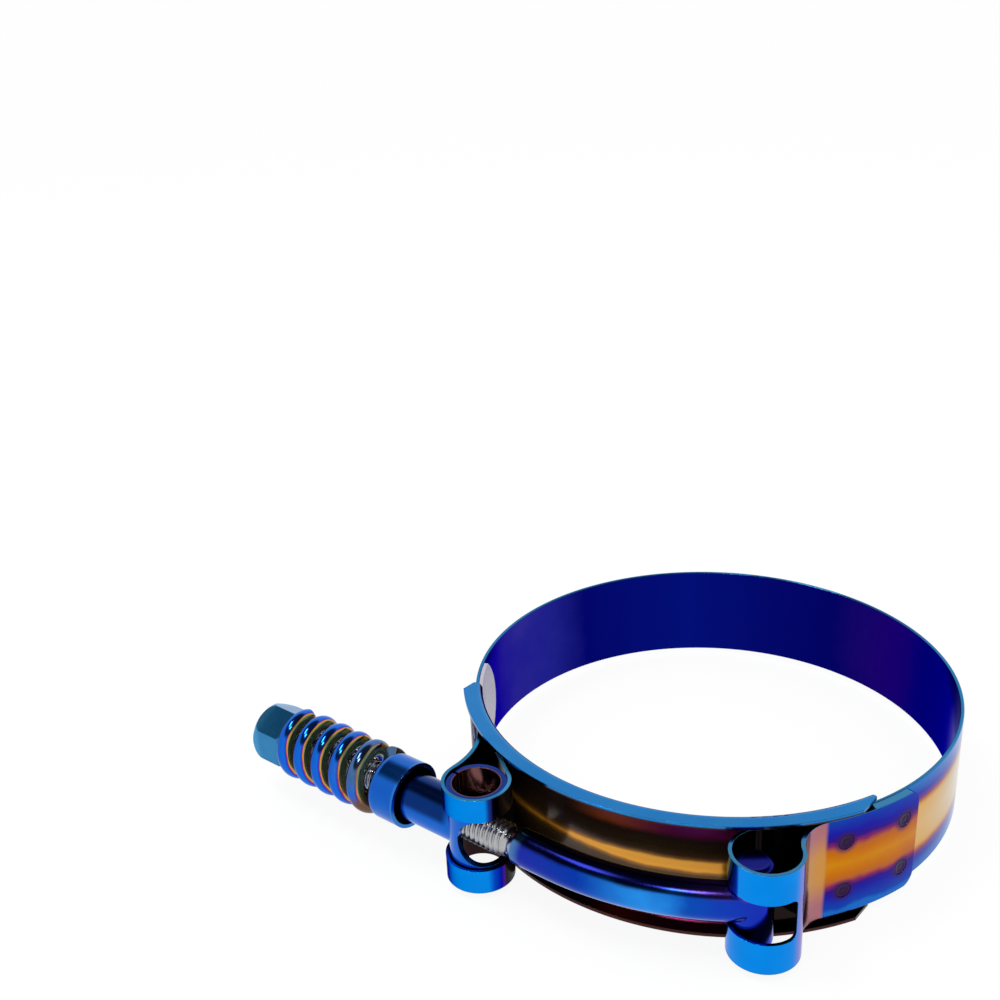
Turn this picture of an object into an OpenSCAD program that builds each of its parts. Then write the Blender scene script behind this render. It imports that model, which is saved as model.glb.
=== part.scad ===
// Spring-loaded T-bolt hose clamp, lying on the edge of its band.
// The band's axis is +Z, the origin is the centre of the bore at half the band's width.
// The fixed loop stands on -Y, and the free loop is gap_angle further round towards -X.

/* [Band] */
// Bore of the clamp, measured on the inside of the bridge plate, fully open
bore_d = 84; // [70:1:120]
// Width of the band and of both loop straps
band_w = 18.2; // [15:0.1:24]
// Thickness of the band
band_t = 0.6; // [0.4:0.05:1]
// Angle between the two loop axes, seen from the centre of the bore
gap_angle = 56.6; // [52:0.1:62]

/* [Bridge plate] */
// Thickness of the bridge plate
bridge_t = 0.6; // [0.4:0.05:0.9]
// Height of the turned-out flanges, from the bore
flange_h = 3.4; // [2.6:0.1:4.5]
// Radius of the rolled edge between web and flange
flange_roll = 1.3; // [1:0.1:1.6]
// Length cut off the flange corners at the fixed loop
flange_chamfer = 4.4; // [0.5:0.1:6]
// Length cut off the flange corners at the tongue
tongue_chamfer = 2; // [0.5:0.1:6]
// Free width on each side of the band, between the flanges
side_gap = 0.8; // [0.75:0.05:1.5]
// How far the flanges run past the fixed loop axis, along the bore
fixed_reach = 18.8; // [14:0.2:26]
// How far the flanges run past the free loop axis, along the bore
free_reach = 24.2; // [18:0.2:30]
// Length of the round tongue that runs on under the free end of the band
tongue_l = 7.4; // [4:0.2:8.8]

/* [Loops] */
// Outside diameter of the round part of a loop
loop_d = 11.5; // [11.2:0.1:14]
// Thickness of the loop straps
strap_t = 0.6; // [0.4:0.05:0.9]
// How far the round part of the fixed loop stands off the band
fixed_lift = 0.2; // [0.15:0.05:2]
// How far the round part of the free loop stands off the band
free_lift = 2.5; // [1.5:0.1:4]
// Run from the foot of the fixed loop to its neck
fixed_neck_run = 6.6; // [2:0.1:9]
// Run from the foot of the free loop to its neck
free_neck_run = 1.2; // [0.8:0.1:5]
// Length of the fixed loop's double tail
tail_l = 17.7; // [10:0.1:20]
// Length of the free loop's double tail
free_tail_l = 11.4; // [10:0.1:20]
// Radius of the rounded tail corners
tail_corner = 2.5; // [0.5:0.1:4]
// Diameter of a spot weld's dimple
weld_d = 2.8; // [1.5:0.1:4]
// Depth of a spot weld's dimple
weld_depth = 0.12; // [0.05:0.01:0.2]
// Distance of the spot welds from the middle of the band
weld_offset = 4.6; // [3:0.1:5.5]
// Distance of the spot welds from the neck and from the tail's end
weld_inset = 3.2; // [2:0.1:4]
// Radius of the window corners
window_corner = 1.1; // [0.4:0.1:2]

/* [T-bolt] */
// Diameter of the plain, curved shank
shank_d = 6.1; // [5:0.1:6.2]
// Outside diameter of the thread
thread_d = 5.8; // [4.6:0.1:6]
// Diameter of the cross bar of the T-head
head_d = 6.4; // [6.2:0.1:8]
// Length of the cross bar of the T-head
head_l = 15; // [12:0.5:18]
// Where the thread begins, measured from the free loop axis towards the T-head
thread_start = 7.5; // [3:0.5:10]

/* [Trunnion] */
// Wall of the trunnion's barrel
barrel_wall = 1; // [0.8:0.1:1.5]
// Width of the barrel's rolled seam
barrel_seam = 0.5; // [0.3:0.1:1]
// Wall of the trunnion's stem
stem_wall = 0.5; // [0.4:0.05:0.9]
// Where the stem ends, measured from the free loop axis
stem_l = 20; // [18:0.5:26]
// Diameter of the wide mouth that the bolt enters by
mouth_d = 9; // [8.6:0.1:10]

/* [Spring and cup] */
// Outside diameter of the spring cup
cup_d = 11.6; // [11:0.1:13]
// Depth of the spring cup
cup_l = 6.4; // [4:0.2:9]
// Wall of the spring cup
cup_wall = 0.7; // [0.5:0.05:1]
// Outside diameter of the spring
spring_d = 12.6; // [12:0.1:14]
// Diameter of the spring wire
wire_d = 3.1; // [2.4:0.1:3.1]
// Length of the spring between its ground ends
spring_l = 22.2; // [19:0.2:26]
// Number of coils
coils = 5; // [4:0.5:6]

/* [Lock nut] */
// Width of the nut across its flats
nut_af = 10; // [9.5:0.1:12]
// Height of the six-sided part of the nut
nut_hex_h = 4.8; // [4.5:0.1:7]
// Height of the domed end that holds the insert
collar_h = 2.4; // [2:0.1:3.5]
// Outside diameter of the insert ring
insert_d = 8; // [7.4:0.1:8.2]
// Height of the insert ring
insert_h = 1.7; // [1.2:0.1:1.9]

/* [Clearances] */
// Gap between sheets that lie on each other
layer_gap = 0.05; // [0.03:0.01:0.12]
// Radial gap of the barrel and of the T-head in their loops
pivot_gap = 0.15; // [0.1:0.05:0.3]
// Radial gap between the plain shank and the stem, room for the curved shank to pass
stem_gap = 0.65; // [0.6:0.05:0.9]
// Gap above and below a piece that passes through a loop's window
window_gap = 0.6; // [0.4:0.1:1]
// Radial gap between the thread and the nut or its insert
thread_gap = 0.1; // [0.08:0.02:0.2]
// Gap between faces that press on each other along the bolt
seat_gap = 0.05; // [0.03:0.01:0.1]

/* [Hidden] */
$fn = 96;

// How far a cutting shape runs past the face that it cuts
cut = 1;

// Radii of the stacked sheets, from the bore outwards
seat_r = bore_d / 2;
band_in = seat_r + bridge_t + layer_gap;
band_out = band_in + band_t;
strap_in = band_out + layer_gap;
strap_mid = strap_in + strap_t;
strap_out = strap_mid + strap_t;
loop_r = loop_d / 2;
loop_in = loop_r - strap_t;

// Each loop axis, and the angle at which the strap's inner layer leaves the band for it
fixed_rho = strap_in + loop_r + fixed_lift;
free_rho = strap_in + loop_r + free_lift;
function foot_angle(rho) = acos((strap_in + loop_r) / rho);
function arc_angle(length, radius) = length / radius * 180 / PI;
fixed_neck = foot_angle(fixed_rho) + arc_angle(fixed_neck_run, strap_mid);
free_neck = foot_angle(free_rho) + arc_angle(free_neck_run, strap_mid);
fixed_tail = arc_angle(tail_l, strap_mid);
free_tail = arc_angle(free_tail_l, strap_mid);
weld_angle = arc_angle(weld_inset, strap_out);

// How deep joined shapes reach into each other, so that none only touches
lap_angle = 1;
bite = 0.05;
corner_grow = 1.03;

// The bridge runs from past the fixed loop to past the free loop
bridge_from = -90 + arc_angle(fixed_reach, seat_r);
bridge_span = gap_angle + arc_angle(fixed_reach + free_reach, seat_r);
tongue_angle = arc_angle(tongue_l, seat_r);
flange_z = band_w / 2 + side_gap + bridge_t;
roll_z = flange_z - flange_roll;
tongue_step = 0.25;
tongue_half = roll_z - tongue_step;
tongue_tip_r = (tongue_half * tongue_half + tongue_l * tongue_l) / (2 * tongue_l);

// The T-head bears on the gap side of its loop, and the shank is bent round the bore
head_shift = loop_in - head_d / 2 - pivot_gap;
bolt_r = norm([head_shift, fixed_rho]);
head_angle = atan2(head_shift, fixed_rho);
bend_angle = gap_angle - acos(bolt_r / free_rho);
straight_l = sqrt(free_rho * free_rho - bolt_r * bolt_r);
thread_lead = 1.2;
plain_l = straight_l - thread_start - thread_lead;
bar_edge = 1;

// Barrel and stem of the trunnion
barrel_r = loop_in - pivot_gap;
barrel_end_gap = 0.4;
mouth_past = 0.4;
barrel_h = band_w - 2 * barrel_end_gap;
stem_in = shank_d / 2 + stem_gap;
stem_out = stem_in + stem_wall;
fixed_window = shank_d + 2 * window_gap;
free_window = 2 * stem_out + 2 * window_gap;

// Where the windows end, from the loop axis: along the bore, and inwards on the way to the band
window_past = loop_r + 3 * cut;
fixed_window_end = loop_r * 0.68;
fixed_window_level = shank_d / 2 + window_gap;
free_window_level = loop_r * 0.86;
stem_window_from = loop_r / 2;
stem_window_end = loop_r * 3;
stem_window_level = stem_out + loop_r * 0.4;

// Stations along the straight part of the bolt, from the free loop axis towards the nut
cup_seat = stem_l + seat_gap;
spring_at = cup_seat + cup_wall + seat_gap;
nut_at = spring_at + spring_l + seat_gap;
nut_h = nut_hex_h + collar_h;
insert_lip = 0.3;
insert_at = nut_h - insert_lip - insert_h;
bolt_recess = 0.5;
bolt_end = nut_at + nut_h - bolt_recess;
thread_l = bolt_end + thread_start - thread_lead;
nut_bore = thread_d / 2 + thread_gap;
collar_wall = 0.75;
collar_r = insert_d / 2 + collar_wall;
nut_chamfer = 0.5;
nut_turn = 30;

// End coils of the spring lie close and are ground flat
close_turns = 0.5;
close_pitch = wire_d * 1.04;
ground = wire_d * 0.3;
open_turns = coils - 2 * close_turns;
open_pitch = (spring_l - wire_d + 2 * ground - 2 * close_turns * close_pitch) / open_turns;

// A point at a radius and an angle, counted from -Y towards +X
function on_ring(r, a) = [r * sin(a), -r * cos(a)];

// A flat ring, or a stretch of one, between two angles counted from +X
module ring_part(r_in, r_out, from, to) {
    reach = 2 * r_out;
    steps = ceil((to - from) / 60);
    intersection() {
        difference() {
            circle(r_out);
            circle(r_in);
        }
        polygon(concat([[0, 0]], [for (i = [0:steps])
            reach * [cos(from + (to - from) * i / steps), sin(from + (to - from) * i / steps)]]));
    }
}

// A rectangle with four round corners, centred
module rounded_rect(x, y, r) {
    square([x, y - 2 * r], center = true);
    square([x - 2 * r, y], center = true);
    for (sx = [-1, 1], sy = [-1, 1])
        translate([sx * (x / 2 - r), sy * (y / 2 - r)])
            circle(r);
}

// Puts its children where the bolt's bend ends, with +Z along its straight part and +Y up
module at_bend() {
    rotate([0, 0, -90 - bend_angle])
        translate([bolt_r, 0, 0])
            rotate([90, 0, 0])
                children();
}

// Puts its children on the bolt's straight part, measured from the free loop axis to the nut
module on_bolt(station) {
    at_bend()
        translate([0, 0, straight_l + station])
            children();
}

// Section of a strap that lies double on the band and runs round one loop, tail towards +X
module strap_section(rho, neck, tail) {
    foot = foot_angle(rho);
    axis = [0, -rho];
    out = on_ring(1, foot);
    in_r = loop_in - bite;
    out_r = loop_r - bite;
    // Hollow curve that leads from the loop into the tail
    drop = strap_mid + strap_t - loop_r;
    hollow_rho = (rho * rho - drop * drop) / (2 * (rho * cos(neck) - drop));
    hollow = on_ring(hollow_rho, neck);
    hollow_r = hollow_rho - strap_mid - strap_t / 2;
    difference() {
        union() {
            translate(axis)
                circle(loop_r);
            difference() {
                polygon([on_ring(strap_in + bite, foot + lap_angle), axis - out_r * out, axis, hollow,
                    on_ring(strap_mid - bite, neck)]);
                translate(hollow)
                    circle(hollow_r - strap_t / 2 - bite);
            }
            ring_part(strap_in, strap_mid, foot - 90, neck + lap_angle - 90);
            ring_part(strap_in, strap_out, neck - lap_angle / 3 - 90, neck + tail - 90);
        }
        // Inside of the loop, from the bearing circle to the neck
        difference() {
            union() {
                translate(axis)
                    circle(loop_in);
                difference() {
                    polygon([on_ring(strap_mid - bite, foot), axis - in_r * out, axis, hollow,
                        on_ring(strap_mid - bite, neck)]);
                    translate(hollow)
                        circle(hollow_r + strap_t / 2 + bite);
                }
            }
            circle(strap_mid);
        }
    }
}

// The tail's four spot-weld dimples and its two rounded corners, to be cut away
module tail_cuts(neck, tail) {
    for (a = [neck + weld_angle, neck + tail - weld_angle], side = [-1, 1])
        rotate([0, 0, a - 90])
            translate([strap_out - weld_depth, 0, side * weld_offset])
                rotate([0, 90, 0])
                    cylinder(d = weld_d, h = cut);
    for (side = [-1, 1])
        rotate([0, 0, neck + tail - 90])
            translate([strap_in - cut, -tail_corner, side * (band_w / 2 - tail_corner)])
                rotate([0, 90, 0])
                    tail_corner_cut(side);
}

// One tail corner: a square with a round piece left standing in it, slightly oversize
module tail_corner_cut(side) {
    depth = strap_out - strap_in + 2 * cut;
    difference() {
        translate([side > 0 ? -2 * tail_corner : 0, 0, 0])
            cube([2 * tail_corner, 2 * tail_corner, depth]);
        translate([0, 0, -cut])
            cylinder(r = tail_corner * corner_grow, h = depth + 2 * cut);
    }
}

// A window through a loop, from x_from to x_to, open outwards from a level behind the loop axis
module window(rho, height, x_from, x_to, level) {
    depth = loop_r + level + cut;
    translate([(x_from + x_to) / 2, -rho + level, 0])
        rotate([90, 0, 0])
            linear_extrude(depth)
                rounded_rect(x_to - x_from, height, window_corner);
}

// Loop strap of the fixed end, with the bolt's window on the gap side
module fixed_loop() {
    color("dodgerblue")
        difference() {
            linear_extrude(band_w, center = true)
                strap_section(fixed_rho, fixed_neck, fixed_tail);
            window(fixed_rho, fixed_window, -window_past, fixed_window_end, fixed_window_level);
            tail_cuts(fixed_neck, fixed_tail);
        }
}

// Loop strap of the free end, with a window right round for the trunnion's stem and the bolt
module free_loop() {
    color("dodgerblue")
        rotate([0, 0, -gap_angle])
            mirror([1, 0, 0])
                difference() {
                    linear_extrude(band_w, center = true)
                        strap_section(free_rho, free_neck, free_tail);
                    window(free_rho, free_window, -window_past, loop_r, free_window_level);
                    window(free_rho, free_window, stem_window_from, stem_window_end, stem_window_level);
                    tail_cuts(free_neck, free_tail);
                }
}

// Band, open under the gap between the loops
module band() {
    from = -90 + foot_angle(fixed_rho);
    to = 270 - gap_angle - foot_angle(free_rho);
    color("mediumblue")
        linear_extrude(band_w, center = true)
            ring_part(band_in, band_out, from, to);
}

// Section of the bridge plate: a web with a rolled, turned-out flange along each edge
module bridge_section() {
    translate([seat_r, -roll_z])
        square([bridge_t, 2 * roll_z]);
    for (side = [-1, 1]) {
        translate([seat_r + flange_roll, side * roll_z])
            intersection() {
                difference() {
                    circle(flange_roll);
                    circle(flange_roll - bridge_t);
                }
                translate([-flange_roll, side < 0 ? -flange_roll : 0])
                    square(flange_roll);
            }
        translate([seat_r + flange_roll, side < 0 ? -flange_z : flange_z - bridge_t])
            square([flange_h - flange_roll, bridge_t]);
    }
}

// Corner cut from the end of a flange: sense is 1 at the end that faces +angle
module flange_corner(angle, sense, chamfer) {
    start = flange_roll + 4 * bite;
    run = flange_h - start;
    slope = chamfer / run;
    lead = 2 * bite;
    rotate([0, 0, angle])
        translate([seat_r + start, 0, 0])
            linear_extrude(2 * flange_z + 2 * cut, center = true)
                polygon([[-lead, sense * lead * slope], [run + cut, -sense * slope * (run + cut)],
                    [run + cut, sense * cut], [-lead, sense * cut]]);
}

// What is cut away around the round tongue, past the end of the flanges
module tongue_cut(flange_end) {
    difference() {
        linear_extrude(2 * flange_z + 2 * cut, center = true)
            ring_part(seat_r - cut, seat_r + flange_h + cut, flange_end - 2 * tongue_angle, flange_end);
        rotate([0, 0, flange_end + arc_angle(tongue_tip_r - tongue_l, seat_r)])
            translate([seat_r / 2, 0, 0])
                rotate([0, 90, 0])
                    cylinder(r = tongue_tip_r, h = seat_r);
    }
}

// Bridge plate inside the band's ends, with a round tongue under the free end
module bridge_plate() {
    flange_end = bridge_from - bridge_span;
    spare = 1.5 * tongue_angle;
    color("steelblue")
        difference() {
            rotate([0, 0, flange_end - spare])
                rotate_extrude(angle = bridge_span + spare, $fn = 180)
                    bridge_section();
            flange_corner(bridge_from, 1, flange_chamfer);
            flange_corner(flange_end, -1, tongue_chamfer);
            tongue_cut(flange_end);
        }
}

// T-bolt: cross bar, shank bent round the bore, then a straight threaded end
module t_bolt() {
    color("midnightblue") {
        translate([-head_shift, -fixed_rho, -head_l / 2]) {
            cylinder(d1 = head_d - 2 * bar_edge, d2 = head_d, h = bar_edge);
            translate([0, 0, bar_edge])
                cylinder(d = head_d, h = head_l - 2 * bar_edge);
            translate([0, 0, head_l - bar_edge])
                cylinder(d1 = head_d, d2 = head_d - 2 * bar_edge, h = bar_edge);
        }
        rotate([0, 0, -90 - bend_angle])
            rotate_extrude(angle = bend_angle - head_angle, $fn = 180)
                translate([bolt_r, 0])
                    circle(d = shank_d);
        at_bend() {
            cylinder(d = shank_d, h = plain_l);
            translate([0, 0, plain_l])
                cylinder(d1 = shank_d, d2 = thread_d, h = thread_lead);
            translate([0, 0, plain_l + thread_lead])
                cylinder(d = thread_d, h = thread_l);
            translate([0, 0, plain_l + thread_lead + thread_l])
                cylinder(d1 = thread_d, d2 = thread_d - 2 * thread_lead, h = thread_lead);
        }
    }
}

// Trunnion: a hollow barrel in the free loop and a tube that carries the spring cup
module trunnion() {
    color("royalblue")
        difference() {
            union() {
                on_bolt(0)
                    rotate([90, 0, 0])
                        cylinder(r = barrel_r, h = barrel_h, center = true);
                on_bolt(0)
                    cylinder(r = stem_out, h = stem_l);
            }
            on_bolt(0)
                rotate([90, 0, 0])
                    cylinder(r = barrel_r - barrel_wall, h = barrel_h + 2 * cut, center = true);
            on_bolt(0)
                cylinder(r = stem_in, h = stem_l + cut);
            // Wide mouth on the bolt's side, with a round end
            on_bolt(mouth_past - mouth_d / 2)
                rotate([0, 90, 0])
                    cylinder(d = mouth_d, h = 2 * barrel_r + 2 * cut, center = true);
            on_bolt(mouth_past - mouth_d / 2 - barrel_r)
                translate([-barrel_r - cut, -mouth_d / 2, 0])
                    cube([2 * barrel_r + 2 * cut, mouth_d, barrel_r]);
            // Seam of the rolled barrel, above and below the stem
            on_bolt(barrel_r)
                for (side = [-1, 1])
                    translate([0, side * (stem_out + barrel_h / 2), 0])
                        cube([barrel_seam, barrel_h, 4 * barrel_wall], center = true);
        }
}

// Drawn cup on the end of the stem, open towards the trunnion
module spring_cup() {
    r = cup_d / 2;
    round_r = 2.4 * cup_wall;
    color("mediumblue")
        on_bolt(cup_seat + cup_wall - cup_l)
            rotate_extrude()
                difference() {
                    union() {
                        square([r, cup_l - round_r]);
                        square([r - round_r, cup_l]);
                        translate([r - round_r, cup_l - round_r])
                            circle(round_r);
                    }
                    translate([0, -cut])
                        square([r - cup_wall, cup_l - round_r + cut]);
                    translate([0, -cut])
                        square([r - round_r, cup_l - cup_wall + cut]);
                    translate([r - round_r, cup_l - round_r])
                        circle(round_r - cup_wall);
                    square([stem_in, cup_l]);
                    translate([0, -2 * cut])
                        square([r + cut, 2 * cut]);
                }
}

// A value held between two limits
function clamp_to(value, low, high) = min(max(value, low), high);

// Height of the wire's centre after some turns, the end coils lying close
function coil_height(turn) = wire_d / 2 - ground
    + close_pitch * min(turn, close_turns)
    + open_pitch * clamp_to(turn - close_turns, 0, open_turns)
    + close_pitch * max(turn - coils + close_turns, 0);
// Compression spring with ground ends, swept as rings of points along its helix
module spring() {
    sides = 12;
    per_turn = 28;
    rings = round(coils * per_turn);
    mean_r = (spring_d - wire_d) / 2;
    points = [for (i = [0:rings], k = [0:sides - 1])
        let (turn = i / per_turn, a = 360 * turn, b = 360 * (k + 0.5) / sides,
            r = mean_r + wire_d / 2 * cos(b))
        [r * cos(a), r * sin(a), clamp_to(coil_height(turn) + wire_d / 2 * sin(b), 0, spring_l)]];
    faces = concat(
        [[for (k = [0:sides - 1]) k]],
        [for (i = [0:rings - 1], k = [0:sides - 1])
            let (n = (k + 1) % sides)
            [i * sides + k, (i + 1) * sides + k, (i + 1) * sides + n, i * sides + n]],
        [[for (k = [sides - 1:-1:0]) rings * sides + k]]);
    color("slateblue")
        on_bolt(spring_at)
            polyhedron(points, faces, convexity = 8);
}

// Six-sided nut with a domed end that holds its insert
module lock_nut() {
    corner_r = nut_af / 2 / cos(30);
    rim_r = collar_r - nut_chamfer;
    steps = 6;
    dome = [for (i = [0:steps]) let (a = 90 * i / steps)
        [rim_r + (corner_r - rim_r) * cos(a), nut_hex_h + collar_h * sin(a)]];
    color("cadetblue")
        on_bolt(nut_at)
            difference() {
                intersection() {
                    rotate([0, 0, nut_turn])
                        cylinder(r = corner_r, h = nut_h, $fn = 6);
                    rotate_extrude()
                        polygon(concat([[0, 0], [corner_r - nut_chamfer, 0], [corner_r, nut_chamfer]],
                            dome, [[0, nut_h]]));
                }
                translate([0, 0, -cut])
                    cylinder(r = nut_bore, h = nut_h + 2 * cut);
                translate([0, 0, insert_at])
                    cylinder(d = insert_d, h = insert_h);
                translate([0, 0, insert_at])
                    cylinder(r = (nut_bore + insert_d / 2) / 2, h = nut_h);
            }
}

// Insert ring that grips the thread, held in the nut's domed end
module nut_insert() {
    color("dimgray")
        on_bolt(nut_at + insert_at)
            difference() {
                cylinder(r = insert_d / 2 - layer_gap, h = insert_h);
                translate([0, 0, -cut])
                    cylinder(r = nut_bore, h = insert_h + 2 * cut);
            }
}

band();
bridge_plate();
fixed_loop();
free_loop();
t_bolt();
trunnion();
spring_cup();
spring();
lock_nut();
nut_insert();
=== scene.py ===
"""Looks of a spring-loaded T-bolt clamp in heat-tinted steel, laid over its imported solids."""

import logging
from dataclasses import dataclass
from enum import Enum
from math import acos, atan2, cos, degrees, hypot, pi, radians, sin, sqrt
from typing import Any, Callable, Dict, List, Optional, Sequence, Tuple, Union

import bmesh
import bpy
from bpy.types import ColorRamp, Material, Mesh, Node, NodeSocket, NodeTree, Object
from mathutils import Matrix, Vector


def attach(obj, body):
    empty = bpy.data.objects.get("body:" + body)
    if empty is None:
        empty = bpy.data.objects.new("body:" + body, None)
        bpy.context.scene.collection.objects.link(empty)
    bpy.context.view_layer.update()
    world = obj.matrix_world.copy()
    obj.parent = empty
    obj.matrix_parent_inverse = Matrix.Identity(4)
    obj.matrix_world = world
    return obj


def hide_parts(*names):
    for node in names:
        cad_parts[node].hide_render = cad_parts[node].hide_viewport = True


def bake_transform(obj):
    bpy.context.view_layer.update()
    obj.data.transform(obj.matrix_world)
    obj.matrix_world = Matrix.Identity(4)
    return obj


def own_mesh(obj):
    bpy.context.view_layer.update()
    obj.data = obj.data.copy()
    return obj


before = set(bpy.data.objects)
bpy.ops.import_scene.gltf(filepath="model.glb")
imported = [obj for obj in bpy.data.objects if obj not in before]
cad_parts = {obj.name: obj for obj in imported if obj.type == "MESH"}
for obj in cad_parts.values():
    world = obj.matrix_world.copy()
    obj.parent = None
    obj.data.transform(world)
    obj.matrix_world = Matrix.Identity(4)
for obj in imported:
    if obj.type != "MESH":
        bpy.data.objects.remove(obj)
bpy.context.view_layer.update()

LOG = logging.getLogger("clamp")
MM = 0.001
SHARP_EDGE = radians(40.0)
WIRE_LEAN = "wire_lean"

Triple = Tuple[float, float, float]
Colour = Triple
Number = Union[float, int, "Socket"]
Stops = Sequence[Tuple[float, Colour]]
Key = Union[str, int]
Inputs = Optional[Dict[Key, Any]]

WHITE: Colour = (1.0, 1.0, 1.0)


def operation(name: str, swapped: bool = False) -> Callable[..., "Socket"]:
    """Method of a socket that adds one Math node.

    Args:
        name: the node's operation.
        swapped: whether the other value comes first.

    Returns:
        The method; it takes the other value, if there is one, and gives the node's result.
    """

    def method(socket: "Socket", *others: Number) -> "Socket":
        """Adds the node."""
        terms = (*others, socket) if swapped else (socket, *others)
        return socket.graph.add("ShaderNodeMath", dict(enumerate(terms)), operation=name)

    return method


class Socket:
    """Output socket of a node graph that takes part in Python arithmetic."""

    __add__, __radd__ = operation("ADD"), operation("ADD", True)
    __sub__, __rsub__ = operation("SUBTRACT"), operation("SUBTRACT", True)
    __mul__, __rmul__ = operation("MULTIPLY"), operation("MULTIPLY", True)
    __truediv__, __rtruediv__ = operation("DIVIDE"), operation("DIVIDE", True)
    __abs__ = operation("ABSOLUTE")
    root, cosine, sine = operation("SQRT"), operation("COSINE"), operation("SINE")
    fraction, floor = operation("FRACT"), operation("FLOOR")
    least, most = operation("MINIMUM"), operation("MAXIMUM")
    arc = operation("ARCTAN2")

    def __init__(self, graph: "Graph", output: NodeSocket) -> None:
        """Keeps the graph and the socket."""
        self.graph = graph
        self.output = output

    def length(self, other: "Socket") -> "Socket":
        """Length of the vector (self, other)."""
        return (self * self + other * other).root()

    def angle(self, across: "Socket") -> "Socket":
        """Angle in degrees of the point (across, self) from the first axis."""
        return self.arc(across) * (180.0 / pi)

    def rise(self, low: float, high: float) -> "Socket":
        """Smooth step.

        Args:
            low: where the result is 0.
            high: where the result is 1; it may be below low.

        Returns:
            A share from 0 to 1.
        """
        return self.graph.add(
            "ShaderNodeMapRange",
            {0: self, 1: low, 2: high, 3: 0.0, 4: 1.0},
            interpolation_type="SMOOTHSTEP",
            clamp=True,
        )


class Graph:
    """A node tree with one way to add a node."""

    def __init__(self, tree: NodeTree) -> None:
        """Keeps the tree."""
        self.tree = tree

    def node(self, kind: str, sockets: Inputs = None, **settings: Any) -> Node:
        """Adds a node.

        Args:
            kind: the node's type.
            sockets: values or links of its inputs, by name or place.
            settings: its own properties, set first; stops fills a colour ramp.

        Returns:
            The new node.
        """
        made = self.tree.nodes.new(kind)
        for key, value in settings.items():
            if key == "stops":
                self._fill_ramp(made.color_ramp, value)
            else:
                setattr(made, key, value)
        for key, value in (sockets or {}).items():
            if isinstance(value, Socket):
                self.tree.links.new(value.output, made.inputs[key])
            else:
                made.inputs[key].default_value = value
        return made

    def out(self, made: Node, key: Key = 0) -> Socket:
        """One output of a node as a socket."""
        return Socket(self, made.outputs[key])

    def add(self, kind: str, sockets: Inputs = None, key: Key = 0, **settings: Any) -> Socket:
        """Adds a node and gives one of its outputs."""
        return self.out(self.node(kind, sockets, **settings), key)

    def _fill_ramp(self, ramp: ColorRamp, stops: Stops) -> None:
        """Gives a colour ramp its stops."""
        while len(ramp.elements) > 1:
            ramp.elements.remove(ramp.elements[-1])
        for place, (position, colour) in enumerate(stops):
            element = ramp.elements[0] if place == 0 else ramp.elements.new(position)
            element.position = position
            element.color = (*colour, 1.0)

    def colours(self, value: Socket, stops: Stops) -> Socket:
        """Colour ramp along a value from 0 to 1."""
        return self.add("ShaderNodeValToRGB", {"Fac": value}, "Color", stops=stops)

    def mix(self, share: Number, first: Any, second: Any) -> Socket:
        """Mixes two colours.

        Args:
            share: 0 gives the first, 1 the second.
            first: colour socket or three numbers.
            second: colour socket or three numbers.

        Returns:
            The mixed colour.
        """
        sides = [c if isinstance(c, Socket) else (*c, 1.0) for c in (first, second)]
        return self.add("ShaderNodeMix", {0: share, 6: sides[0], 7: sides[1]}, 2, data_type="RGBA")

    def vector(self, x: Number, y: Number, z: Number) -> Socket:
        """Vector of three values."""
        return self.add("ShaderNodeCombineXYZ", {"X": x, "Y": y, "Z": z})

    def parts(self, vector: Socket) -> List[Socket]:
        """The three values of a vector."""
        made = self.node("ShaderNodeSeparateXYZ", {0: vector})
        return [self.out(made, axis) for axis in "XYZ"]


class Place(Enum):
    """Which end of the band a loop belongs to."""

    FIXED = "fixed"
    FREE = "free"


@dataclass(frozen=True)
class LoopSizes:
    """One loop strap: lengths in millimetres, its axis's angle and the way round to its tail."""

    base: float
    mid: float
    lift: float
    neck_run: float
    tail_l: float
    start: float
    sense: float

    @property
    def rho(self) -> float:
        """Distance of the loop's axis from the bore's."""
        return self.base + self.lift

    @property
    def foot(self) -> float:
        """Angle from the loop's axis to where the strap leaves the band."""
        return degrees(acos(self.base / self.rho))

    @property
    def neck(self) -> float:
        """Angle from the loop's axis to its neck."""
        return self.foot + degrees(self.neck_run / self.mid)

    @property
    def tail(self) -> float:
        """Angle that the tail covers."""
        return degrees(self.tail_l / self.mid)

    def past(self, angle: float) -> float:
        """Angle round the bore of a place that lies past the loop's axis, towards the tail."""
        return self.start + self.sense * angle


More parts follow.
